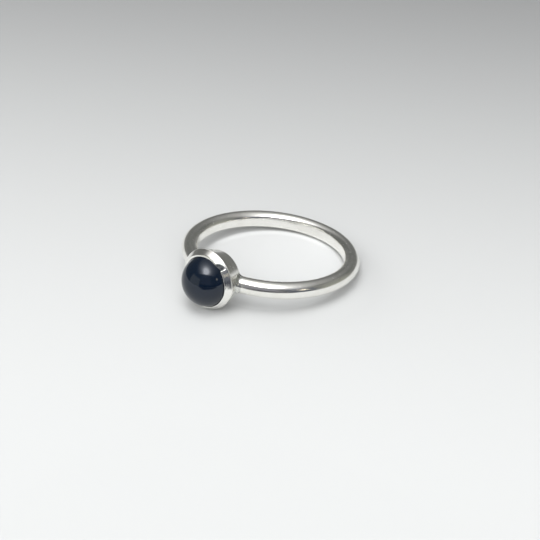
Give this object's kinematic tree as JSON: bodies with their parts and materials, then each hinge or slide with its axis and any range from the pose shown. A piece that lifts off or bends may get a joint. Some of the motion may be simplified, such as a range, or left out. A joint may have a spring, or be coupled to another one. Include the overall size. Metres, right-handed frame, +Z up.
{
  "type": "onyx ring",
  "caption": "Thin ring of round silver wire with a bevelled bezel cup that holds a high round black onyx cabochon, lying on its side.",
  "frame": {"origin": "centre of the underside of the ring's box, on the surface that the ring lies on", "axes": "+Z up from that surface, the stone faces -Y, and +X is to the right of someone who faces the stone"},
  "size_m": [0.021, 0.0246, 0.0071],
  "materials": {
    "silver": "polished",
    "onyx": "polished"
  },
  "bodies": {
    "root": {"band_and_bezel": "silver", "onyx_cabochon": "onyx"}
  },
  "joints": []
}
